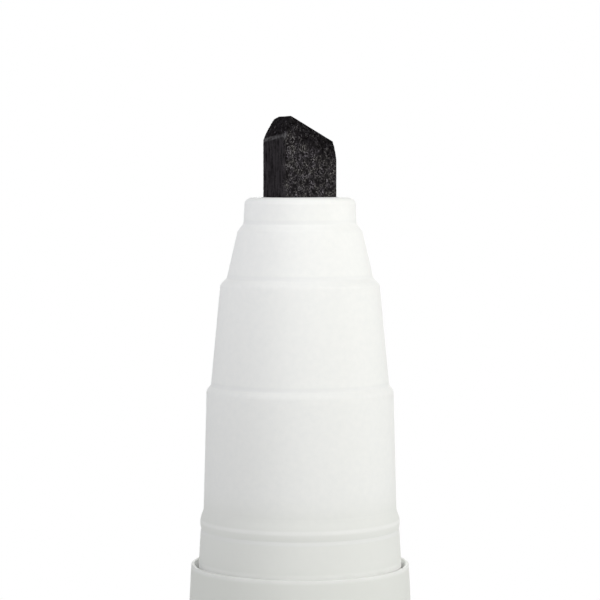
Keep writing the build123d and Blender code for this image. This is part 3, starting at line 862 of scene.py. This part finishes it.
def soft_rubber():
    """Black washer rubber, finely speckled, with a grey bloom in patches."""
    material, place = new_finish("washer rubber")
    bloom = place.noise(BLOOM_CLOUD, 3.0).fade(0.42, 0.68)
    speckle = place.noise(RUBBER_SPECKLE, 2.0)
    return surface(material,
                   {"Base Color": bloom.tint(RUBBER_BLACK, BLOOM_GREY),
                    "Roughness": 0.62 + 0.12 * bloom + 0.12 * speckle,
                    "Normal": speckle.bump(SPECKLE_DEPTH, 0.6)},
                   {"Specular IOR Level": 0.4})


wear(soft_rubber(), "valve_seal")

# %% Finish the ball
TUMBLE_SCRATCH = 0.7 * MM
INK_FILM = 2.2 * MM
SCRATCH_DEPTH = 0.002 * MM

STEEL_BRIGHT = (0.70, 0.70, 0.71)
STEEL_INKED = (0.10, 0.10, 0.105)


def polished_steel():
    """Bright steel with fine scratches from tumbling, and a little ink left in them."""
    material, place = new_finish("polished steel")
    scratches = abs(place.noise(TUMBLE_SCRATCH, 5.0) - 0.5).fade(0.02, 0.0)
    film = place.noise(INK_FILM, 3.0).fade(0.5, 0.72)
    return surface(material,
                   {"Base Color": (0.5 * scratches + 0.25 * film).tint(STEEL_BRIGHT, STEEL_INKED),
                    "Roughness": 0.1 + 0.14 * film + 0.2 * scratches,
                    "Normal": (1 - scratches).bump(SCRATCH_DEPTH, 0.5)},
                   {"Metallic": 1.0})


wear(polished_steel(), "mixing_ball")

# %% [markdown]
# ## The floor and the sky
# The floor is a pale disc. Near the marker it is plain and takes its shadow, and further out it turns to the
# white of the background for every ray that only looks. The sky does the same. A white floor and sky could
# be lit until they look white, but that much light would bleach the marker. The floor hangs on the cap, on
# which the marker stands, so that it goes down with the cap when the cap is drawn off.

# %% Lay the floor
FLOOR_R = 3.0
FLOOR_SIDES = 96
FLOOR_PAINT = (0.8, 0.8, 0.8, 1)
SHADOW_R = 120 * MM
WHITE_R = 420 * MM
NEAR_GLOW = 0.45


def looking_rays(start):
    """1 for rays that only look at a surface: from the camera, a mirror or through glass."""
    looking = start.node("ShaderNodeLightPath", output="Is Camera Ray")
    for kind in ("Is Glossy Ray", "Is Transmission Ray"):
        looking = looking.larger(start.node("ShaderNodeLightPath", output=kind))
    return looking


def pale_floor():
    """Diffuse near the marker, white to the eye further out."""
    material, place = new_finish("pale floor")
    tree = material.node_tree
    tree.nodes.remove(tree.nodes["Principled BSDF"])
    paint = place.node("ShaderNodeBsdfDiffuse", {}, {"Color": FLOOR_PAINT})
    glow = place.node("ShaderNodeEmission", {}, {"Color": (1, 1, 1, 1), "Strength": 1.0})
    share = (NEAR_GLOW + (1 - NEAR_GLOW) * place.reach().fade(SHADOW_R, WHITE_R)) * looking_rays(place)
    mixed = place.node("ShaderNodeMixShader", {}, {0: share, 1: paint, 2: glow})
    tree.links.new(mixed.socket, tree.nodes["Material Output"].inputs["Surface"])
    return material


clear_bench()
bpy.ops.mesh.primitive_circle_add(vertices=FLOOR_SIDES, radius=FLOOR_R, fill_type="NGON", location=(0, 0, 0))
floor = take("floor")
floor.data.materials.append(pale_floor())
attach(floor, "cap")
print("floor of", 2 * FLOOR_R, "m")

# %% Light the sky
SKY_LIGHT = 0.52

world = bpy.data.worlds.new("white studio")
world.use_nodes = True
bpy.context.scene.world = world
sky = Signal(world.node_tree)
sky_colour = looking_rays(sky).tint((SKY_LIGHT, SKY_LIGHT, SKY_LIGHT), (1, 1, 1))
world.node_tree.links.new(sky_colour.socket, world.node_tree.nodes["Background"].inputs["Color"])
print("sky light", SKY_LIGHT)

# %% [markdown]
# ## The lamps
# A softbox at the side gives the nose its bright flank, and one behind lifts its edges. Three narrow beams
# from above brighten the top of the nose, cool from the left and a little rosy from the front and the right.
# A fourth lights the barrel below them. Stronger softboxes could do all this alone, but their light reaches
# every step of the nose alike. Each lamp is placed in metres from the top of the nose, as the camera sees it.

# %% Hang the softboxes
SOFTBOX_SIDE = 0.4
SOFTBOX_AIM = -0.05

NEUTRAL = (1.0, 1.0, 1.0)
WARM = (1.0, 0.99, 0.985)
COOL = (0.91, 0.895, 1.0)
ROSY = (1.0, 0.97, 0.95)


def lamp(name, kind, right, front, up, aim_up, watts, colour):
    """A lamp placed from the top of the nose as the camera sees it, and turned to a point on the axis."""
    place = nose_top + to_right * right + to_camera * front + Vector((0, 0, up))
    turn = (nose_top + Vector((0, 0, aim_up)) - place).to_track_quat("-Z", "Y").to_euler()
    clear_bench()
    bpy.ops.object.light_add(type=kind, location=place, rotation=turn)
    made = bpy.context.object
    made.name = name
    made.data.energy = watts
    made.data.color = colour
    made.visible_camera = False
    print("lamp", name, watts, "W")
    return made.data


def softbox(name, right, front, up, watts, colour):
    """A broad lamp with soft shadows."""
    light = lamp(name, "AREA", right, front, up, SOFTBOX_AIM, watts, colour)
    light.size = SOFTBOX_SIDE


softbox("side softbox", right=0.82, front=0.57, up=0.35, watts=3.55, colour=WARM)
softbox("back softbox", right=0.0, front=-1.0, up=0.15, watts=3.0, colour=NEUTRAL)

# %% Aim the beams
BEAM_SOURCE = 0.05
NOSE_BEAM_RISE = 0.10
NOSE_BEAM_AIM = 0.02
NOSE_CONE = radians(19.5)
BARREL_CONE = radians(12)


def beam(name, right, front, up, aim_up, watts, colour, cone):
    """A narrow lamp that fades from the middle of its cone to the edge."""
    light = lamp(name, "SPOT", right, front, up, aim_up, watts, colour)
    light.spot_size = cone
    light.spot_blend = 1.0
    light.shadow_soft_size = BEAM_SOURCE


for name, right, front, watts, colour in (("left beam", -0.27, 0.13, 2.4, COOL),
                                          ("front beam", 0.0, 0.30, 1.4, ROSY),
                                          ("right beam", 0.28, 0.10, 1.43, ROSY)):
    beam(name, right, front, NOSE_BEAM_RISE, NOSE_BEAM_AIM, watts, colour, NOSE_CONE)
beam("barrel beam", right=-0.22, front=0.40, up=-0.06, aim_up=-0.107, watts=4.0, colour=NEUTRAL,
     cone=BARREL_CONE)

# %% [markdown]
# ## Colours as they are
# The standard view shows a colour as it is written.

# %% Finish
bpy.context.scene.view_settings.view_transform = "Standard"
